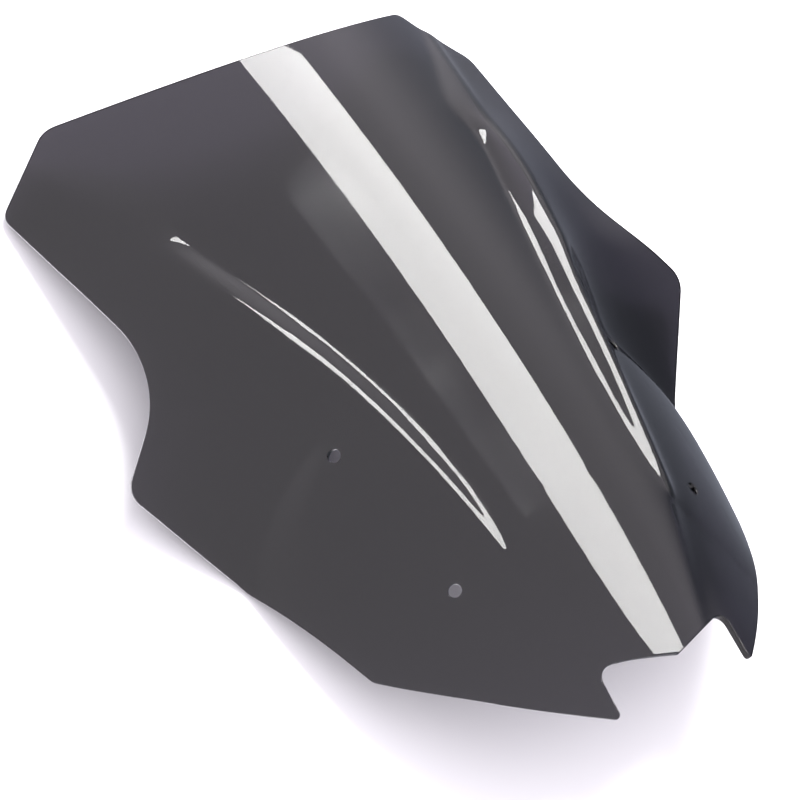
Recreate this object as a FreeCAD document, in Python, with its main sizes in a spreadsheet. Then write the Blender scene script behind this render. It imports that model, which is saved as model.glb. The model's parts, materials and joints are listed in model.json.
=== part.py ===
import FreeCAD, Part
import math
import os

import Sketcher

# A motorcycle windshield screen: one thermoformed sheet, lying crown up as it rests on a table.
# x runs across the screen and its mirror plane is x = 0. The station y runs from the two lower
# tips (y = 0) to the broad upper edge. All lengths are in millimetres.
DIMENSIONS = {
    # the sheet and its drilling
    "sheet_thickness": 4.0,
    "hole_diameter": 8.0,
    "upper_hole_side": 105.5,
    "upper_hole_station": 219.0,
    "lower_hole_side": 90.0,
    "lower_hole_station": 113.0,
    # half outline, seen from above: side distance from the mirror plane, station from the tips
    "top_corner_side": 134.6,
    "top_corner_station": 494.5,
    "shoulder_side": 178.2,
    "shoulder_station": 457.1,
    "waist_side": 163.0,
    "waist_station": 313.0,
    "wing_side": 210.6,
    "wing_station": 258.1,
    "hem_side": 165.2,
    "hem_station": 185.2,
    "cheek_side": 140.0,
    "cheek_station": 95.3,
    "tip_side": 48.2,
    "notch_side": 47.5,
    "notch_station": 33.9,
    "chin_station": 18.9,
    # bows and corner roundings of the outline
    "top_bow_radius": 463.0,
    "jaw_bow_radius": 393.0,
    "corner_radius": 12.0,
    "waist_radius": 95.0,
    "hem_radius": 60.0,
    "notch_radius": 7.0,
    "tip_radius": 2.5,
    "block_reach": 200.0,
    # middle: an arched crown line, curving down to both sides, more so by the notch
    "crown_height": 104.3,
    "crown_station": 119.0,
    "crown_arc_radius": 1860.0,
    "dome_curvature": 0.00508,
    "notch_curvature": 0.00123,
    "notch_reach": 47.0,
    # ridge: a nearly level ledge ends in a crest, and a steep flank falls from it
    "ridge_height": 99.0,
    "ridge_station": 153.0,
    "ridge_arc_radius": 617.0,
    "ridge_end_station": 112.0,
    "ridge_end_slope": 0.35,
    "ledge_slope": 0.248,
    "shoulder_slope": -0.35,
    "shoulder_station": 388.0,
    "shoulder_reach": 40.0,
    "shoulder_fall": 0.7,
    "crest_side": 45.8,
    "crest_splay": 0.1205,
    "crest_curvature": 0.000452,
    "flank_slope": 2.26,
    # cheek: the lower side wall that holds the screws, with a steeper skirt beyond its brow
    "cheek_drop": 31.4,
    "cheek_slope": 0.685,
    "cheek_curvature": 0.00522,
    "cheek_shear": 0.04,
    "brow_side": 148.6,
    "brow_curvature": 0.01617,
    "brow_station": 153.0,
    "skirt_slope": 0.53,
    "skirt_blend": 4.0,
    "jaw_side": 100.0,
    "jaw_curvature": 0.016,
    "jaw_reach": 117.0,
    "cheek_end_slope": 1.39,
    "cheek_end_station": 236.0,
    # wing: the upper side panel, highest at the waist, that spreads out to the wing corner
    "wing_height": 45.1,
    "wing_top_station": 285.8,
    "wing_rise": 0.509,
    "wing_fall": 0.249,
    "wing_base_side": 174.0,
    "wing_slope": 0.277,
    "wing_slope_gain": 0.29,
    "wing_slope_station": 324.0,
    "wing_root_height": 21.6,
    "wing_root_side": 105.0,
    "wing_root_reach": 25.0,
    "wing_root_station": 150.0,
    # blends between the regions
    "fold_blend": 1.5,
    "crest_blend": 8.0,
    "foot_blend": 9.0,
    "wall_blend": 5.0,
}

X_AXIS = -1
Y_AXIS = -2
SKIN_STATIONS = 53
SKIN_MARGIN = 12.0

# The half outline from the upper corner down to the middle of the lower edge: where each run
# ends, and for a bowed run its radius and whether it bows to its left (1) or right (-1).
OUTLINE_RUNS = [
    ("shoulder", None, 0),
    ("waist", None, 0),
    ("wing", None, 0),
    ("hem", None, 0),
    ("cheek", None, 0),
    ("tip", "jaw_bow_radius", 1),
    ("notch", None, 0),
    ("chin", None, 0),
]
ROUNDINGS = [
    (("top_corner", "shoulder", "wing", "cheek"), "corner_radius"),
    (("waist",), "waist_radius"),
    (("hem",), "hem_radius"),
    (("notch",), "notch_radius"),
    (("tip",), "tip_radius"),
]


def add_dimensions(doc):
    """Put every driving dimension in the sheet, one row each, and return the sheet."""
    sheet = doc.addObject("Spreadsheet::Sheet", "Dimensions")
    for row, (name, value) in enumerate(DIMENSIONS.items(), start=1):
        sheet.set(f"A{row}", name)
        sheet.set(f"B{row}", str(value))
        sheet.setAlias(f"B{row}", name)
    doc.recompute()
    return sheet


def smooth_min(a, b, blend):
    return 0.5 * (a + b - math.hypot(a - b, blend))


def smooth_max(a, b, blend):
    return 0.5 * (a + b + math.hypot(a - b, blend))


def ramp(distance, blend):
    """Zero before the start and rising with slope one after it, with a rounded start."""
    return 0.5 * (distance + math.hypot(distance, blend))


def crest_line(dim, y):
    """Side distance of the ridge's crest at station y."""
    return dim.crest_side + dim.crest_splay * y + 0.5 * dim.crest_curvature * y * y


def ridge_line(dim, y):
    """Height of the ridge's crest at station y, sinking below the dome at its lower end."""
    sunk = dim.ridge_end_slope * ramp(dim.ridge_end_station - y, 6)
    return dim.ridge_height - (y - dim.ridge_station) ** 2 / (2 * dim.ridge_arc_radius) - sunk


def crown_line(dim, y):
    """Height of the middle line at station y."""
    return dim.crown_height - (y - dim.crown_station) ** 2 / (2 * dim.crown_arc_radius)


def middle_height(dim, side, y):
    """The dome between the two ridges, with the ledge that runs up to the crest.

    Beyond the ridge's upper end the ledge turns into a falling shoulder.
    """
    curvature = dim.dome_curvature + dim.notch_curvature * math.exp(-y / dim.notch_reach)
    dome = crown_line(dim, y) - 0.5 * curvature * side ** 2
    turned = 1 / (1 + math.exp(-(y - dim.shoulder_station) / 8))
    slope = dim.ledge_slope + (dim.shoulder_slope - dim.ledge_slope) * turned
    out = side - crest_line(dim, y)
    ledge = ridge_line(dim, y) + slope * out
    ledge -= dim.shoulder_fall * ramp(-out - dim.shoulder_reach, 10)
    return smooth_max(dome, ledge, dim.fold_blend)


def cheek_height(dim, side, y):
    """The lower side wall: bulging, steeper beyond its brow, ending above the upper hole."""
    out = side - dim.lower_hole_side - dim.cheek_shear * (y - 50)
    drop = dim.cheek_drop + dim.cheek_slope * out + 0.5 * dim.cheek_curvature * out ** 2
    brow = dim.brow_side - 0.5 * dim.brow_curvature * ramp(y - dim.brow_station, 20) ** 2
    drop += dim.skirt_slope * ramp(side - brow, dim.skirt_blend)
    jaw_fade = math.exp(-((y / dim.jaw_reach) ** 2))
    drop += 0.5 * dim.jaw_curvature * ramp(side - dim.jaw_side, 10) ** 2 * jaw_fade
    drop += dim.cheek_end_slope * ramp(y - dim.cheek_end_station, 8)
    return crown_line(dim, y) - drop


def wing_height(dim, side, y):
    """The upper side panel, a hollow sweep from the ridge's foot out to the wing corner."""
    along = y - dim.wing_top_station
    base = dim.wing_height + smooth_min(dim.wing_rise * along, -dim.wing_fall * along, 12)
    steepening = 1 / (1 + math.exp(-(y - dim.wing_slope_station) / 18))
    slope = dim.wing_slope + dim.wing_slope_gain * steepening
    root = math.exp(-(side - dim.wing_root_side) / dim.wing_root_reach)
    root /= 1 + math.exp(-(y - dim.wing_root_station) / 12)
    return base - slope * (side - dim.wing_base_side) + dim.wing_root_height * root


def skin_height(dim, x, y):
    """Height of the outer face at (x, y): the regions of the screen, blended together."""
    side = abs(x)
    flank = ridge_line(dim, y) - dim.flank_slope * (side - crest_line(dim, y))
    wall = smooth_max(cheek_height(dim, side, y), wing_height(dim, side, y), dim.wall_blend)
    wall = smooth_max(wall, flank, dim.foot_blend)
    return smooth_min(middle_height(dim, side, y), wall, dim.crest_blend)


def skin_sides(dim, y):
    """Side distances of the skin's grid at station y, close together around the crest."""
    crest = crest_line(dim, y)
    reach = 18.0
    limit = dim.wing_side + SKIN_MARGIN
    inner = [(crest - reach) * i / 7 for i in range(7)]
    ridge = [crest - reach + 2 * reach * i / 14 for i in range(15)]
    outer = [crest + reach + (limit - crest - reach) * (i / 13) for i in range(1, 14)]
    return inner + ridge + outer


def add_skin(doc, dim):
    """The endless outer face, as one spline surface through a grid that follows the ridge."""
    first = -SKIN_MARGIN
    last = dim.top_corner_station + SKIN_MARGIN
    rows = []
    for i in range(SKIN_STATIONS):
        y = first + (last - first) * i / (SKIN_STATIONS - 1)
        sides = skin_sides(dim, y)
        xs = [-side for side in reversed(sides[1:])] + sides
        rows.append([FreeCAD.Vector(x, y, skin_height(dim, x, y)) for x in xs])
    surface = Part.BSplineSurface()
    surface.interpolate(rows)
    skin = doc.addObject("Part::Feature", "outer_skin")
    skin.Shape = surface.toShape()
    return skin


class Outline:
    """The screen's outline, a constrained sketch on the body's XY plane, mirrored about Y."""

    def __init__(self, body, dim):
        self.dim = dim
        self.sketch = body.newObject("Sketcher::SketchObject", "outline")
        plane = next(f for f in body.Origin.OriginFeatures if f.Role == "XY_Plane")
        self.sketch.AttachmentSupport = [(plane, "")]
        self.sketch.MapMode = "FlatFace"
        self.constraints = []
        self.bindings = {}

    def place(self, name, mirror=1):
        side = getattr(self.dim, name + "_side", 0.0)
        station = getattr(self.dim, name + "_station", 0.0)
        return FreeCAD.Vector(mirror * side, station, 0)

    def constrain(self, *values, size=None):
        """Keep a constraint for the sketch, and the dimension that sets its size."""
        if size:
            self.bindings[len(self.constraints)] = size
        self.constraints.append(Sketcher.Constraint(*values))

    def end_at(self, curve, place):
        """The number of the curve's end that lies at the place."""
        geometry = self.sketch.Geometry[curve]
        to_start = geometry.StartPoint.distanceToPoint(place)
        return 1 if to_start < geometry.EndPoint.distanceToPoint(place) else 2

    def bind(self, curve, vertex, name):
        """Hold a curve's end at the named place, its distances taken from the dimensions."""
        place = self.place(name)
        for axis, kind, ending, value in (
            (Y_AXIS, "DistanceX", "_side", place.x),
            (X_AXIS, "DistanceY", "_station", place.y),
        ):
            if value == 0:
                self.constrain("PointOnObject", curve, vertex, axis)
            else:
                self.constrain(kind, -1, 1, curve, vertex, value, size=name + ending)

    def draw(self, start, end, bow=None, bend=0):
        """A straight run, or one bowed to its left (bend 1) or right (bend -1)."""
        if bow is None:
            return self.sketch.addGeometry(Part.LineSegment(start, end), False)
        radius = getattr(self.dim, bow)
        half = (end - start) * 0.5
        left = FreeCAD.Vector(-half.y, half.x, 0).normalize()
        centre = start + half - left * bend * math.sqrt(radius ** 2 - half.Length ** 2)
        first, last = (end, start) if bend > 0 else (start, end)
        angles = [math.atan2(p.y - centre.y, p.x - centre.x) for p in (first, last)]
        if angles[1] < angles[0]:
            angles[1] += 2 * math.pi
        circle = Part.Circle(centre, FreeCAD.Vector(0, 0, 1), radius)
        curve = self.sketch.addGeometry(Part.ArcOfCircle(circle, *angles), False)
        self.constrain("Radius", curve, radius, size=bow)
        return curve

    def build(self):
        left, right = self.place("top_corner", -1), self.place("top_corner")
        top = self.draw(left, right, "top_bow_radius", -1)
        ends = {1: (top, self.end_at(top, right)), -1: (top, self.end_at(top, left))}
        self.constrain("Symmetric", *ends[1], *ends[-1], Y_AXIS)
        self.bind(*ends[1], "top_corner")
        start = "top_corner"
        for end, bow, bend in OUTLINE_RUNS:
            for mirror in (1, -1):
                near = self.place(start, mirror)
                curve = self.draw(near, self.place(end, mirror), bow, bend * mirror)
                first = self.end_at(curve, near)
                self.constrain("Coincident", *ends[mirror], curve, first)
                ends[mirror] = (curve, 3 - first)
            if end == "chin":
                self.constrain("Coincident", *ends[1], *ends[-1])
            else:
                self.constrain("Symmetric", *ends[1], *ends[-1], Y_AXIS)
            self.bind(*ends[1], end)
            start = end
        self.sketch.addConstraint(self.constraints)
        for index, size in self.bindings.items():
            self.sketch.setExpression(f"Constraints[{index}]", f"Dimensions.{size}")
        return self.sketch


def upright_edges(shape, outline, names):
    """Names of the shape's upright edges at the named corners, on both sides."""
    corners = [outline.place(name, mirror) for name in names for mirror in (1, -1)]
    found = []
    for number, edge in enumerate(shape.Edges, start=1):
        low, high = edge.Vertexes[0].Point, edge.Vertexes[-1].Point
        upright = math.hypot(low.x - high.x, low.y - high.y) < 1e-6 and len(edge.Vertexes) == 2
        if upright and any(math.hypot(low.x - c.x, low.y - c.y) < 1e-3 for c in corners):
            found.append(f"Edge{number}")
    return found


def add_trimming_block(doc, dim):
    """An upright block with the screen's outline and its rounded corners."""
    body = doc.addObject("PartDesign::Body", "trimming_block")
    outline = Outline(body, dim)
    sketch = outline.build()
    pad = body.newObject("PartDesign::Pad", "upright_block")
    pad.Profile = sketch
    pad.SideType = "Symmetric"
    pad.setExpression("Length", "2 * Dimensions.block_reach")
    doc.recompute()
    last = pad
    for names, radius in ROUNDINGS:
        rounding = body.newObject("PartDesign::Fillet", radius + "_rounding")
        rounding.Base = (last, upright_edges(last.Shape, outline, names))
        rounding.setExpression("Radius", f"Dimensions.{radius}")
        doc.recompute()
        last = rounding
    body.Tip = last
    doc.recompute()
    return body


def add_sheet(doc, skin, block):
    """The skin trimmed to the outline and thickened inwards, so its edges stay square."""
    trimmed = doc.addObject("Part::Common", "trimmed_skin")
    trimmed.Base = skin
    trimmed.Tool = block
    sheet = doc.addObject("Part::Offset", "formed_sheet")
    sheet.Source = trimmed
    sheet.Fill = True
    sheet.setExpression("Value", "Dimensions.sheet_thickness")
    doc.recompute()
    return sheet


def outward_direction(dim, x, y):
    """Unit normal of the outer face at (x, y)."""
    step = 0.5
    rise_x = (skin_height(dim, x + step, y) - skin_height(dim, x - step, y)) / (2 * step)
    rise_y = (skin_height(dim, x, y + step) - skin_height(dim, x, y - step)) / (2 * step)
    return FreeCAD.Vector(-rise_x, -rise_y, 1).normalize()


def add_drills(doc, dim):
    """Four drills, each square to the sheet at its screw hole."""
    drills = []
    for hole in ("upper_hole", "lower_hole"):
        side = getattr(dim, hole + "_side")
        station = getattr(dim, hole + "_station")
        for hand, mirror in (("right", 1), ("left", -1)):
            x = mirror * side
            outward = outward_direction(dim, x, station)
            surface_point = FreeCAD.Vector(x, station, skin_height(dim, x, station))
            drill = doc.addObject("Part::Cylinder", f"{hole}_{hand}")
            drill.setExpression("Radius", "Dimensions.hole_diameter / 2")
            drill.setExpression("Height", "3 * Dimensions.sheet_thickness")
            drill.Placement = FreeCAD.Placement(
                surface_point - outward * 2 * dim.sheet_thickness,
                FreeCAD.Rotation(FreeCAD.Vector(0, 0, 1), outward),
            )
            drills.append(drill)
    cluster = doc.addObject("Part::MultiFuse", "drills")
    cluster.Shapes = drills
    return cluster


def main():
    doc = FreeCAD.newDocument("windshield_screen")
    dim = add_dimensions(doc)
    skin = add_skin(doc, dim)
    block = add_trimming_block(doc, dim)
    sheet = add_sheet(doc, skin, block)
    drills = add_drills(doc, dim)

    panel = doc.addObject("Part::Cut", "screen_panel")
    panel.Label = "screen_panel"
    panel.Base = sheet
    panel.Tool = drills
    doc.recompute()

    # The frame's origin is under the middle of the panel, with the lowest point on z = 0.
    box = panel.Shape.optimalBoundingBox()
    panel.Placement.Base = FreeCAD.Vector(0, -0.5 * (box.YMin + box.YMax), -box.ZMin)
    doc.recompute()

    for item in doc.Objects:
        if {"Invalid", "Error"} & set(item.State):
            raise RuntimeError(f"{item.Label} did not compute")
    if panel.Shape.isNull() or not panel.Shape.isValid():
        raise RuntimeError("screen_panel has no valid shape")

    os.makedirs("parts", exist_ok=True)
    panel.Shape.exportStep(os.path.join("parts", panel.Label + ".step"))
    size = panel.Shape.optimalBoundingBox()
    print("screen_panel", round(size.XLength, 1), round(size.YLength, 1), round(size.ZLength, 1))
    print("volume", round(panel.Shape.Volume), "shift", panel.Placement.Base)


main()
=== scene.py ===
import json
import math
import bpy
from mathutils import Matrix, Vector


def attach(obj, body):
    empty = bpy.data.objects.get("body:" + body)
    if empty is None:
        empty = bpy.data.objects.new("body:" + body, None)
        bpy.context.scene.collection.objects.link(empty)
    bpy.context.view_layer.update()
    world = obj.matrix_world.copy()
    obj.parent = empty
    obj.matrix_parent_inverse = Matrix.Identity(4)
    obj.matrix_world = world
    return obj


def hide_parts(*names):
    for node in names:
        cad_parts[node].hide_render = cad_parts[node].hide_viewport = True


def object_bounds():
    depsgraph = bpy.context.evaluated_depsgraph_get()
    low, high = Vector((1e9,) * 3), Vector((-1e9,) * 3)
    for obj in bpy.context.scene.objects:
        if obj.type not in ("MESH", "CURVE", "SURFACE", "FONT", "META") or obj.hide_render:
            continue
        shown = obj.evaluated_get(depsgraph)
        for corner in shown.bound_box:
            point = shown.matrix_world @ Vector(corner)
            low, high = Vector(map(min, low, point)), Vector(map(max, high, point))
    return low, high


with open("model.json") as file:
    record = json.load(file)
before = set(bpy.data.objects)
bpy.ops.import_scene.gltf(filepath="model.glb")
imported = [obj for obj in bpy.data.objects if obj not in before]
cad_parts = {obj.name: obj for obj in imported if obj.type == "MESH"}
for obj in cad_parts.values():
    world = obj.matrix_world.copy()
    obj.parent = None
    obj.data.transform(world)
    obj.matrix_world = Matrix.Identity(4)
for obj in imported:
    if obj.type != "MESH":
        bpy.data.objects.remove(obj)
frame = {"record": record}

from types import SimpleNamespace

import bpy
import numpy as np
from mathutils import Matrix, Vector
from mathutils.geometry import delaunay_2d_cdt
from mathutils.kdtree import KDTree

CAD_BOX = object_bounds()
MM = 0.001

# The formed sheet, in millimetres. x runs across the screen, whose mirror plane is x = 0, and the
# station y runs from the two lower tips (y = 0) to the broad upper edge, as in the CAD part.
SHAPE = SimpleNamespace(
    sheet_thickness=4.0,
    hole_radius=4.0,
    edge_radius=0.9,
    # middle: an arched crown line, curving down to both sides, more so by the notch
    crown_height=104.3,
    crown_station=119.0,
    crown_arc_radius=1860.0,
    dome_curvature=0.00508,
    notch_curvature=0.00123,
    notch_reach=47.0,
    # ridge: a nearly level ledge ends in a crest, and a steep flank falls from it
    ridge_height=99.0,
    ridge_station=153.0,
    ridge_arc_radius=617.0,
    ridge_end_station=112.0,
    ridge_end_slope=0.35,
    ledge_slope=0.248,
    shoulder_slope=-0.35,
    shoulder_station=388.0,
    shoulder_reach=40.0,
    shoulder_fall=0.7,
    crest_side=45.8,
    crest_splay=0.1205,
    crest_curvature=0.000452,
    flank_slope=2.26,
    # cheek: the lower side wall that holds the screws, with a steeper skirt beyond its brow
    cheek_side=90.0,
    cheek_drop=31.4,
    cheek_slope=0.685,
    cheek_curvature=0.00522,
    cheek_shear=0.04,
    brow_side=148.6,
    brow_curvature=0.01617,
    brow_station=153.0,
    skirt_slope=0.53,
    skirt_blend=4.0,
    jaw_side=100.0,
    jaw_curvature=0.016,
    jaw_reach=117.0,
    cheek_end_slope=1.39,
    cheek_end_station=236.0,
    # wing: the upper side panel, highest at the waist, that spreads out to the wing corner
    wing_height=45.1,
    wing_top_station=285.8,
    wing_rise=0.509,
    wing_fall=0.249,
    wing_base_side=174.0,
    wing_slope=0.277,
    wing_slope_gain=0.29,
    wing_slope_station=324.0,
    wing_root_height=21.6,
    wing_root_side=105.0,
    wing_root_reach=25.0,
    wing_root_station=150.0,
    # blends between the regions
    fold_blend=1.5,
    crest_blend=8.0,
    foot_blend=9.0,
    wall_blend=5.0,
)

HOLES = {"upper_hole": (105.5, 219.0), "lower_hole": (90.0, 113.0)}

# The right half of the outline from the upper corner down to the middle of the lower edge: the
# corner's side distance and station, its rounding radius, and the radius of the bowed run that
# ends there (positive where the run bows outwards, None where it is straight).
OUTLINE = [
    ((134.6, 494.5), 12.0, -463.0),
    ((178.2, 457.1), 12.0, None),
    ((163.0, 313.0), 95.0, None),
    ((210.6, 258.1), 12.0, None),
    ((165.2, 185.2), 60.0, None),
    ((140.0, 95.3), 12.0, None),
    ((48.2, 0.0), 2.5, 393.0),
    ((47.5, 33.9), 7.0, None),
    ((0.0, 18.9), 0.0, None),
]

# The mesh, in millimetres: the spacing of its points over the panel, over the ridges and along the
# outline, and the reach of the close spacing on both sides of a crest.
COARSE_STEP = 3.4
FINE_STEP = 1.5
OUTLINE_STEP = 2.5
FINE_INSIDE, FINE_OUTSIDE = 12.0, 24.0
CORNER_GAP = 0.6
HOLE_STEPS = 40
EDGE_STEPS = 4
SLOPE_STEP = 0.25

# Smoke-tinted acrylic. Noise scales are roughly in features per metre. The tint's density is per
# metre and the wave depth is in metres.
ACRYLIC = SimpleNamespace(
    tint=(0.47, 0.455, 0.50, 1),
    tint_density=1750.0,
    surface=(0.97, 0.97, 0.98, 1),
    refraction=1.49,
    haze_scale=14.0,
    haze_detail=5.0,
    haze_range=(0.35, 0.75),
    roughness_range=(0.012, 0.05),
    wave_scale=9.0,
    wave_detail=2.0,
    wave_depth=0.00006,
)

TABLE = SimpleNamespace(
    half_side=6.0,
    colour=(0.86, 0.86, 0.865, 1),
    specular=0.2,
    grain_scale=60.0,
    roughness_range=(0.75, 0.9),
)

# The room is bright, but dim and bluish within a soft-edged cone around the dim side's direction.
# The cone's edge is given by the cosines at which the dimness starts and is full.
ROOM = SimpleNamespace(
    colour=(1.63, 1.56, 1.68, 1),
    dim_colour=(0.30, 0.315, 0.38, 1),
    dim_side=(0.93, -0.20, -0.35),
    dim_start=0.50,
    dim_full=0.85,
)

# Softboxes: the direction and distance in metres from the panel's middle, the shift from there
# across and along the box's face, its lean and tip in radians, and its width and length.
STRIP = SimpleNamespace(
    name="strip_softbox",
    towards=(0.53, 0.28, 0.80),
    distance=2.5,
    shift=(-0.05, -0.05),
    lean=0.27,
    tip=0.22,
    size=(0.88, 2.66),
    radiance=14.5,
    colour=(1.0, 0.99, 0.98),
)
KEY = SimpleNamespace(
    name="key_softbox",
    towards=(0.32, 0.42, 0.85),
    distance=3.4,
    shift=(0.0, 0.0),
    lean=0.0,
    tip=0.0,
    size=(1.4, 1.4),
    radiance=26.0,
    colour=(1.0, 1.0, 1.0),
)
LIT_POINT = (0, 240, 90)

# The camera looks along an azimuth from +Y towards +X and down by an elevation, in degrees, at a
# point of the station frame in millimetres.
CAMERA = SimpleNamespace(
    azimuth=61.67,
    elevation=53.66,
    roll=-34.75,
    distance=2.3495,
    target=(-44.16, 237.04, 60.0),
    lens=180.0,
    sensor_width=36.0,
    clip=(0.1, 60.0),
)


def smooth_min(a, b, blend):
    return 0.5 * (a + b - np.hypot(a - b, blend))


def smooth_max(a, b, blend):
    return 0.5 * (a + b + np.hypot(a - b, blend))


def ramp(distance, blend):
    """Zero before the start and rising with slope one after it, with a rounded start."""
    return 0.5 * (distance + np.hypot(distance, blend))


def crest_line(y):
    """Side distance of the ridge's crest at station y."""
    return SHAPE.crest_side + SHAPE.crest_splay * y + 0.5 * SHAPE.crest_curvature * y * y


def ridge_line(y):
    """Height of the ridge's crest at station y, sinking below the dome at its lower end."""
    sunk = SHAPE.ridge_end_slope * ramp(SHAPE.ridge_end_station - y, 6)
    arc = (y - SHAPE.ridge_station) ** 2 / (2 * SHAPE.ridge_arc_radius)
    return SHAPE.ridge_height - arc - sunk


def crown_line(y):
    """Height of the middle line at station y."""
    return SHAPE.crown_height - (y - SHAPE.crown_station) ** 2 / (2 * SHAPE.crown_arc_radius)


def middle_height(side, y):
    """The dome between the two ridges, with the ledge that runs up to the crest.

    Beyond the ridge's upper end the ledge turns into a falling shoulder.
    """
    curvature = SHAPE.dome_curvature + SHAPE.notch_curvature * np.exp(-y / SHAPE.notch_reach)
    dome = crown_line(y) - 0.5 * curvature * side ** 2
    turned = 1 / (1 + np.exp(-(y - SHAPE.shoulder_station) / 8))
    slope = SHAPE.ledge_slope + (SHAPE.shoulder_slope - SHAPE.ledge_slope) * turned
    out = side - crest_line(y)
    ledge = ridge_line(y) + slope * out
    ledge = ledge - SHAPE.shoulder_fall * ramp(-out - SHAPE.shoulder_reach, 10)
    return smooth_max(dome, ledge, SHAPE.fold_blend)


def cheek_height(side, y):
    """The lower side wall: bulging, steeper beyond its brow, ending above the upper hole."""
    out = side - SHAPE.cheek_side - SHAPE.cheek_shear * (y - 50)
    drop = SHAPE.cheek_drop + SHAPE.cheek_slope * out + 0.5 * SHAPE.cheek_curvature * out ** 2
    brow = SHAPE.brow_side - 0.5 * SHAPE.brow_curvature * ramp(y - SHAPE.brow_station, 20) ** 2
    drop += SHAPE.skirt_slope * ramp(side - brow, SHAPE.skirt_blend)
    jaw_fade = np.exp(-((y / SHAPE.jaw_reach) ** 2))
    drop += 0.5 * SHAPE.jaw_curvature * ramp(side - SHAPE.jaw_side, 10) ** 2 * jaw_fade
    drop += SHAPE.cheek_end_slope * ramp(y - SHAPE.cheek_end_station, 8)
    return crown_line(y) - drop


def wing_height(side, y):
    """The upper side panel, a hollow sweep from the ridge's foot out to the wing corner."""
    along = y - SHAPE.wing_top_station
    base = SHAPE.wing_height + smooth_min(SHAPE.wing_rise * along, -SHAPE.wing_fall * along, 12)
    steepening = 1 / (1 + np.exp(-(y - SHAPE.wing_slope_station) / 18))
    slope = SHAPE.wing_slope + SHAPE.wing_slope_gain * steepening
    root = np.exp(-(side - SHAPE.wing_root_side) / SHAPE.wing_root_reach)
    root = root / (1 + np.exp(-(y - SHAPE.wing_root_station) / 12))
    return base - slope * (side - SHAPE.wing_base_side) + SHAPE.wing_root_height * root


def skin_height(x, y):
    """Height of the outer face at (x, y): the regions of the screen, blended together."""
    side = np.abs(x)
    flank = ridge_line(y) - SHAPE.flank_slope * (side - crest_line(y))
    wall = smooth_max(cheek_height(side, y), wing_height(side, y), SHAPE.wall_blend)
    wall = smooth_max(wall, flank, SHAPE.foot_blend)
    return smooth_min(middle_height(side, y), wall, SHAPE.crest_blend)


def skin_points(plan):
    """Points of the outer face over an array of (x, y) places."""
    return np.column_stack([plan, skin_height(plan[:, 0], plan[:, 1])])


def skin_normals(plan):
    """Outward unit normals of the outer face at an array of (x, y) places."""
    x, y = plan[:, 0], plan[:, 1]
    step = SLOPE_STEP
    rise_x = (skin_height(x + step, y) - skin_height(x - step, y)) / (2 * step)
    rise_y = (skin_height(x, y + step) - skin_height(x, y - step)) / (2 * step)
    normals = np.column_stack([-rise_x, -rise_y, np.ones_like(x)])
    return normals / np.linalg.norm(normals, axis=1)[:, None]


def bowed_run(start, end, bow):
    """Points from start up to end, on an arc if the run bows (the outline runs clockwise)."""
    start, end = np.array(start), np.array(end)
    chord = end - start
    length = np.linalg.norm(chord)
    count = max(2, round(length / OUTLINE_STEP))
    share = np.arange(count) / count
    points = start + share[:, None] * chord
    if bow:
        outward = np.array([-chord[1], chord[0]]) / length
        along = (share - 0.5) * length
        rise = np.sqrt(bow ** 2 - along ** 2) - math.sqrt(bow ** 2 - length ** 2 / 4)
        points += (math.copysign(1, bow) * rise)[:, None] * outward
    return points


def round_corner(corner, to_before, to_after, radius):
    """The arc that rounds a corner between two nearly straight runs, and how far it reaches."""
    to_before = to_before / np.linalg.norm(to_before)
    to_after = to_after / np.linalg.norm(to_after)
    half = 0.5 * math.acos(to_before @ to_after)
    if radius == 0:
        return np.array([corner]), 0.0
    reach = radius / math.tan(half)
    middle = (to_before + to_after) / np.linalg.norm(to_before + to_after)
    centre = corner + middle * radius / math.sin(half)
    first = corner + to_before * reach - centre
    last = corner + to_after * reach - centre
    turn = math.pi - 2 * half
    steps = max(6, round(turn * radius / OUTLINE_STEP))
    share = np.arange(steps + 1)[:, None] / steps
    swing = np.sin((1 - share) * turn) * first + np.sin(share * turn) * last
    return centre + swing / math.sin(turn), reach


def outline_loop():
    """The whole outline, clockwise from above, as (x, y) points with its corners rounded."""
    right = [(np.array(place), radius, bow) for place, radius, bow in OUTLINE]
    left = [
        (place * (-1, 1), radius, below[2])
        for (place, radius, _), below in zip(right, right[1:])
    ]
    corners = right + left[::-1]
    count = len(corners)
    runs = [bowed_run(corners[i - 1][0], corners[i][0], corners[i][2]) for i in range(count)]
    arcs = []
    for (place, radius, _), run, after in zip(corners, runs, runs[1:] + runs[:1]):
        arcs.append(round_corner(place, run[-1] - place, after[1] - place, radius))
    loop = []
    for i, run in enumerate(runs):
        from_start = np.linalg.norm(run - corners[i - 1][0], axis=1) - arcs[i - 1][1]
        from_end = np.linalg.norm(run - corners[i][0], axis=1) - arcs[i][1]
        straight = (from_start > CORNER_GAP) & (from_end > CORNER_GAP)
        loop += [run[straight], arcs[i][0]]
    return np.concatenate(loop)


def hole_loop(x, y):
    """The rim of the hole drilled square to the sheet at (x, y), counterclockwise."""
    place = np.array([[x, y]])
    normal = skin_normals(place)[0]
    across = np.cross((0, 1, 0), normal)
    across /= np.linalg.norm(across)
    along = np.cross(normal, across)
    angle = 2 * math.pi * np.arange(HOLE_STEPS)[:, None] / HOLE_STEPS
    rim = np.cos(angle) * across + np.sin(angle) * along
    return place + SHAPE.hole_radius * rim[:, :2]


def kd_tree(plan):
    """A search tree over (x, y) places."""
    tree = KDTree(len(plan))
    for i, (x, y) in enumerate(plan):
        tree.insert((x, y, 0), i)
    tree.balance()
    return tree


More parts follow.
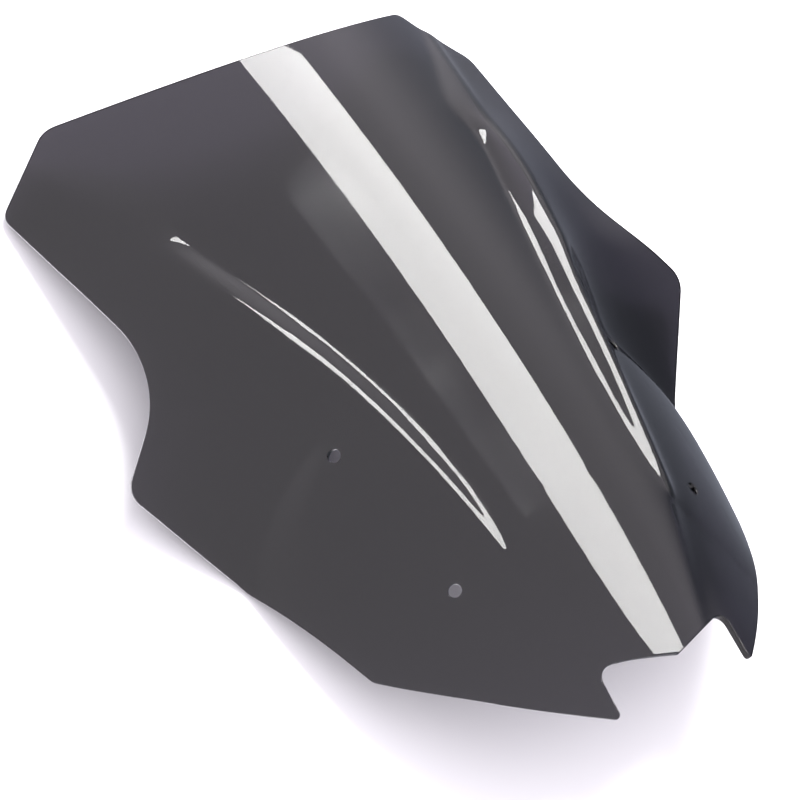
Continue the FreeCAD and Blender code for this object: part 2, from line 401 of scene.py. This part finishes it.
def face_points(loops):
    """(x, y) points for the inside of the face, close together across the two ridges."""
    tree = kd_tree(np.concatenate(loops))
    limit = max(place[0] for place, _, _ in OUTLINE)
    top = max(place[1] for place, _, _ in OUTLINE)
    points = []
    for y in np.arange(0.5 * COARSE_STEP, top, COARSE_STEP):
        crest = crest_line(y)
        inner, outer = crest - FINE_INSIDE, crest + FINE_OUTSIDE
        sides = np.concatenate([
            np.linspace(0, inner, max(3, round(inner / COARSE_STEP)), endpoint=False),
            np.linspace(inner, outer, round((outer - inner) / FINE_STEP), endpoint=False),
            np.arange(outer, limit, COARSE_STEP),
        ])
        points += [(x, y) for x in np.concatenate([-sides[:0:-1], sides])]
    clear = 0.75 * OUTLINE_STEP
    points = np.array([p for p in points if tree.find((p[0], p[1], 0))[2] > clear])
    for x, y in HOLES.values():
        from_hole = np.hypot(np.abs(points[:, 0]) - x, points[:, 1] - y)
        points = points[from_hole > SHAPE.hole_radius]
    return points


def triangulate(loops, inside):
    """The face's (x, y) points, those of the loops first, and its triangles as indices of them."""
    plan = np.concatenate(loops + [inside])
    edges = []
    first = 0
    loop_of = np.full(len(plan), -1)
    for number, loop in enumerate(loops):
        count = len(loop)
        edges += [(first + i, first + (i + 1) % count) for i in range(count)]
        loop_of[first:first + count] = number
        first += count
    points = [Vector(p) for p in plan]
    only_inside = 1
    result = delaunay_2d_cdt(points, edges, [], only_inside, 1e-6)
    source = [origin[0] for origin in result[3]]
    triangles = np.array([[source[v] for v in face] for face in result[2]])
    # The outline is loop 0. A triangle between three points of one other loop spans its hole.
    owners = loop_of[triangles]
    spans_hole = (owners[:, 0] > 0) & (owners == owners[:, :1]).all(axis=1)
    triangles = triangles[~spans_hole]
    used = np.unique(np.concatenate([np.arange(first), triangles.ravel()]))
    return plan[used], np.searchsorted(used, triangles)


def inset_loop(rim):
    """A rim drawn in by the edge's radius, and the directions that point out over the edge."""
    places, normals = skin_points(rim), skin_normals(rim)
    tangent = np.roll(places, -1, axis=0) - np.roll(places, 1, axis=0)
    outward = np.cross(normals, tangent)
    outward /= np.linalg.norm(outward, axis=1)[:, None]
    return (places - SHAPE.edge_radius * outward)[:, :2], outward


def edge_rings(places, normals, outward):
    """Rings of points and of normals around a rounded edge, from the outer to the inner face."""
    radius = SHAPE.edge_radius
    across = outward - np.sum(outward * normals, axis=1)[:, None] * normals
    across /= np.linalg.norm(across, axis=1)[:, None]
    quarter = [0.5 * math.pi * i / EDGE_STEPS for i in range(EDGE_STEPS + 1)]
    profile = [(angle, radius) for angle in quarter[1:]]
    inner_depth = SHAPE.sheet_thickness - radius
    profile += [(angle + 0.5 * math.pi, inner_depth) for angle in quarter[:-1]]
    for angle, depth in profile:
        facing = math.cos(angle) * normals + math.sin(angle) * across
        yield places - depth * normals + radius * facing, facing


def panel_mesh():
    """Vertices, faces and vertex normals of the sheet, with its edges rounded over."""
    rims = [outline_loop()]
    rims += [hole_loop(hand * x, y) for x, y in HOLES.values() for hand in (1, -1)]
    loops, outwards = zip(*[inset_loop(rim) for rim in rims])
    plan, triangles = triangulate(list(loops), face_points(rims))
    outer, normals = skin_points(plan), skin_normals(plan)
    count = len(plan)
    vertices = [outer, outer - SHAPE.sheet_thickness * normals]
    directions = [normals, -normals]
    faces = [tuple(t) for t in triangles.tolist()]
    faces += [tuple(t) for t in (triangles[:, ::-1] + count).tolist()]
    base, first = 2 * count, 0
    for outward in outwards:
        size = len(outward)
        part = slice(first, first + size)
        rows = [list(range(first, first + size))]
        for ring, facing in edge_rings(outer[part], normals[part], outward):
            vertices.append(ring)
            directions.append(facing)
            rows.append(list(range(base, base + size)))
            base += size
        rows.append([vertex + count for vertex in rows[0]])
        for upper, lower in zip(rows, rows[1:]):
            for i in range(size):
                j = (i + 1) % size
                faces.append((upper[i], upper[j], lower[j], lower[i]))
        first += size
    return np.concatenate(vertices), faces, np.concatenate(directions)


def frame_shift():
    """From this script's station frame to the CAD frame, found at one drilled hole."""
    mount = next(m for m in frame["record"]["mounts"] if m["name"] == "lower_hole_right")
    place = np.array([HOLES["lower_hole"]])
    middle = skin_points(place) - 0.5 * SHAPE.sheet_thickness * skin_normals(place)
    return Vector(mount["pos_m"]) - MM * Vector(middle[0])


SHIFT = frame_shift()


def placed(x, y, z):
    """A point of the station frame, in millimetres, as a point of the CAD frame in metres."""
    return MM * Vector((x, y, z)) + SHIFT


def node(tree, kind, label, inputs, **settings):
    """A new shader node with some of its inputs and settings set."""
    made = tree.nodes.new(kind)
    made.label = label
    for name, value in settings.items():
        setattr(made, name, value)
    for name, value in inputs.items():
        made.inputs[name].default_value = value
    return made


def noise(tree, label, inputs):
    """Noise in object coordinates, so that it stays on the object."""
    place = node(tree, "ShaderNodeTexCoord", "object coordinates", {})
    made = node(tree, "ShaderNodeTexNoise", label, inputs)
    tree.links.new(place.outputs["Object"], made.inputs["Vector"])
    return made.outputs["Fac"]


def spread(tree, label, value, source, result):
    """A value with its source range spread over the result range."""
    made = node(tree, "ShaderNodeMapRange", label, {
        "From Min": source[0], "From Max": source[1], "To Min": result[0], "To Max": result[1],
    })
    tree.links.new(value, made.inputs["Value"])
    return made.outputs["Result"]


def acrylic_material():
    """Smoke-tinted acrylic: clear gloss over a tint that deepens with the path inside it.

    Handling haze dulls the polish in soft patches, and forming waves bend the reflections a little.
    """
    material = bpy.data.materials.new("smoke_tinted_acrylic")
    material.use_nodes = True
    tree = material.node_tree
    tree.nodes.clear()
    output = node(tree, "ShaderNodeOutputMaterial", "output", {})
    gloss = node(tree, "ShaderNodeBsdfPrincipled", "polished faces", {
        "Base Color": ACRYLIC.surface, "Transmission Weight": 1.0, "IOR": ACRYLIC.refraction,
    })
    tint = node(tree, "ShaderNodeVolumeAbsorption", "smoke tint", {
        "Color": ACRYLIC.tint, "Density": ACRYLIC.tint_density,
    })
    tree.links.new(tint.outputs["Volume"], output.inputs["Volume"])
    tree.links.new(gloss.outputs["BSDF"], output.inputs["Surface"])

    haze = noise(tree, "handling haze", {
        "Scale": ACRYLIC.haze_scale, "Detail": ACRYLIC.haze_detail,
    })
    dulling = spread(
        tree, "roughness from haze", haze, ACRYLIC.haze_range, ACRYLIC.roughness_range
    )
    tree.links.new(dulling, gloss.inputs["Roughness"])

    waves = noise(tree, "forming waves", {
        "Scale": ACRYLIC.wave_scale, "Detail": ACRYLIC.wave_detail,
    })
    bump = node(tree, "ShaderNodeBump", "forming waves", {
        "Strength": 1.0, "Distance": ACRYLIC.wave_depth,
    })
    tree.links.new(waves, bump.inputs["Height"])
    tree.links.new(bump.outputs["Normal"], gloss.inputs["Normal"])
    return material


def table_material():
    """A plain, pale, matt table top with the faintest mottling."""
    material = bpy.data.materials.new("pale_table")
    material.use_nodes = True
    tree = material.node_tree
    surface = tree.nodes["Principled BSDF"]
    surface.inputs["Base Color"].default_value = TABLE.colour
    surface.inputs["Specular IOR Level"].default_value = TABLE.specular
    grain = noise(tree, "paper grain", {"Scale": TABLE.grain_scale})
    matt = spread(tree, "roughness from grain", grain, (0, 1), TABLE.roughness_range)
    tree.links.new(matt, surface.inputs["Roughness"])
    return material


def add_object(name, mesh, material):
    mesh.materials.append(material)
    made = bpy.data.objects.new(name, mesh)
    bpy.context.scene.collection.objects.link(made)
    return made


def add_panel():
    """The screen itself, which stands for the CAD panel."""
    vertices, faces, normals = panel_mesh()
    mesh = bpy.data.meshes.new("screen_sheet")
    mesh.from_pydata([placed(*vertex) for vertex in vertices], [], faces)
    mesh.normals_split_custom_set_from_vertices([Vector(normal) for normal in normals])
    mesh.update()
    panel = add_object("screen_sheet", mesh, acrylic_material())
    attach(panel, "root")
    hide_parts("screen_panel")


def add_table():
    """The table top under the screen, which the gloss doesn't mirror."""
    half = TABLE.half_side
    mesh = bpy.data.meshes.new("table_top")
    corners = [(-half, -half, 0), (half, -half, 0), (half, half, 0), (-half, half, 0)]
    mesh.from_pydata(corners, [], [(0, 1, 2, 3)])
    table = add_object("table_top", mesh, table_material())
    table.location.z = CAD_BOX[0].z
    table.visible_glossy = False


def add_softbox(box):
    """A rectangular soft light that faces the screen.

    Its long side rises with the screen's station. It leans to the right, and its upper end tips
    towards the screen. The radiance is that of its face, so its power grows with its area.
    """
    towards = Vector(box.towards).normalized()
    rise = (Vector((0, 1, 0)) - towards.y * towards).normalized()
    right = rise.cross(towards)
    leant = math.cos(box.lean) * rise + math.sin(box.lean) * right
    length = math.cos(box.tip) * leant - math.sin(box.tip) * towards
    facing = math.cos(box.tip) * towards + math.sin(box.tip) * leant
    middle = placed(*LIT_POINT) + box.distance * towards
    middle += box.shift[0] * right + box.shift[1] * rise

    lamp = bpy.data.lights.new(box.name, "AREA")
    lamp.shape = "RECTANGLE"
    lamp.size, lamp.size_y = box.size
    lamp.energy = math.pi * box.radiance * box.size[0] * box.size[1]
    lamp.color = box.colour
    holder = bpy.data.objects.new(box.name, lamp)
    turn = Matrix((length.cross(facing), length, facing)).transposed()
    holder.matrix_world = Matrix.Translation(middle) @ turn.to_4x4()
    bpy.context.scene.collection.objects.link(holder)
    return holder


def add_lights():
    """A strip softbox that mirrors down the middle of the screen, and a key light overhead.

    The strip shows only in the gloss. The key lights the table and is kept out of the gloss, as
    a flag in front of it would do.
    """
    strip = add_softbox(STRIP)
    strip.visible_diffuse = False
    strip.visible_transmission = False
    key = add_softbox(KEY)
    key.visible_glossy = False


def add_room():
    """A bright room whose side to the screen's right is dim and bluish."""
    world = bpy.data.worlds.new("studio")
    world.use_nodes = True
    tree = world.node_tree
    background = tree.nodes["Background"]
    place = node(tree, "ShaderNodeTexCoord", "direction", {})
    towards = node(
        tree, "ShaderNodeVectorMath", "towards the dim side", {}, operation="DOT_PRODUCT"
    )
    towards.inputs[1].default_value = Vector(ROOM.dim_side).normalized()
    tree.links.new(place.outputs["Generated"], towards.inputs[0])
    edge = {"From Min": ROOM.dim_start, "From Max": ROOM.dim_full}
    fade = node(
        tree, "ShaderNodeMapRange", "edge of the dim side", edge, interpolation_type="SMOOTHSTEP"
    )
    tree.links.new(towards.outputs["Value"], fade.inputs["Value"])
    mixed = node(tree, "ShaderNodeMix", "room colour", {}, data_type="RGBA")
    blend, bright, dim, result = mixed.inputs[0], mixed.inputs[6], mixed.inputs[7], mixed.outputs[2]
    bright.default_value = ROOM.colour
    dim.default_value = ROOM.dim_colour
    tree.links.new(fade.outputs["Result"], blend)
    tree.links.new(result, background.inputs["Color"])
    bpy.context.scene.world = world


def add_camera():
    """A long lens high over the screen's lower left, rolled like a hand-held product shot."""
    data = bpy.data.cameras.new("camera")
    data.sensor_width = CAMERA.sensor_width
    data.lens = CAMERA.lens
    data.clip_start, data.clip_end = CAMERA.clip
    azimuth, elevation = math.radians(CAMERA.azimuth), math.radians(CAMERA.elevation)
    roll = math.radians(CAMERA.roll)
    ahead = Vector((math.sin(azimuth), math.cos(azimuth), 0)) * math.cos(elevation)
    ahead.z = -math.sin(elevation)
    level = ahead.cross((0, 0, 1)).normalized()
    up = math.cos(roll) * level.cross(ahead) + math.sin(roll) * level
    turn = Matrix((ahead.cross(up), up, -ahead)).transposed()
    camera = bpy.data.objects.new("camera", data)
    place = placed(*CAMERA.target) - CAMERA.distance * ahead
    camera.matrix_world = Matrix.Translation(place) @ turn.to_4x4()
    bpy.context.scene.collection.objects.link(camera)
    bpy.context.scene.camera = camera


bpy.context.scene.view_settings.view_transform = "Standard"
add_panel()
add_table()
add_lights()
add_room()
add_camera()
